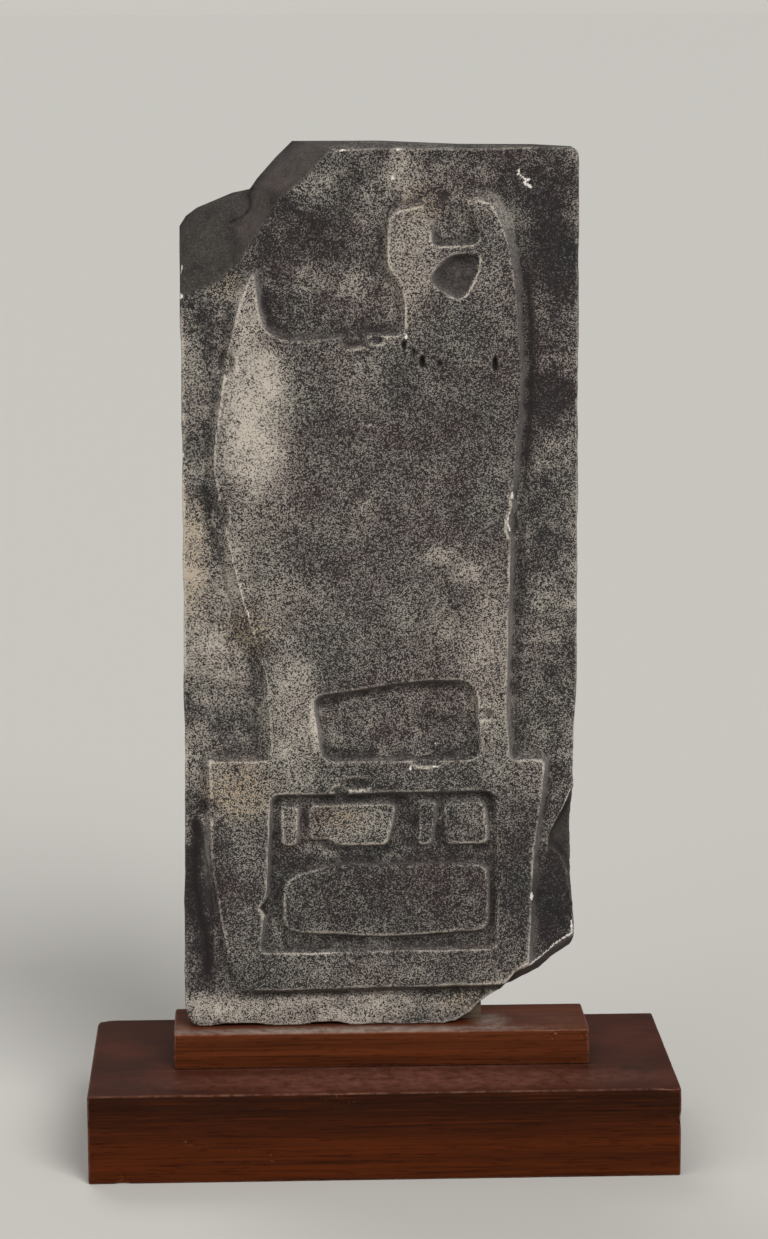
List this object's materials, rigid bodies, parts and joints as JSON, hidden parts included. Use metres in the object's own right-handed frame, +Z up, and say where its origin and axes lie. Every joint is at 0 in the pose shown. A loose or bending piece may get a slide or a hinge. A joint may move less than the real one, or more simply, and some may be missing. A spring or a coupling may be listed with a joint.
{
  "type": "marble stele",
  "caption": "Broken upright slab of dark speckled marble with a horned figure and a framed panel in low relief, standing on a stepped wooden plinth for display.",
  "frame": {"origin": "centre of the lower plinth's underside, on the surface it stands on", "axes": "+Z up, the carved face looks along -Y, +X to the right as the face is seen"},
  "size_m": [0.305, 0.135, 0.5243],
  "materials": {
    "weathered_marble": "matte",
    "plinth_wood": "satin",
    "peg_wood": "matte"
  },
  "bodies": {
    "root": {"stele_slab": "weathered_marble", "upper_plinth": "plinth_wood", "lower_plinth": "plinth_wood", "support_peg": "peg_wood"}
  },
  "joints": []
}
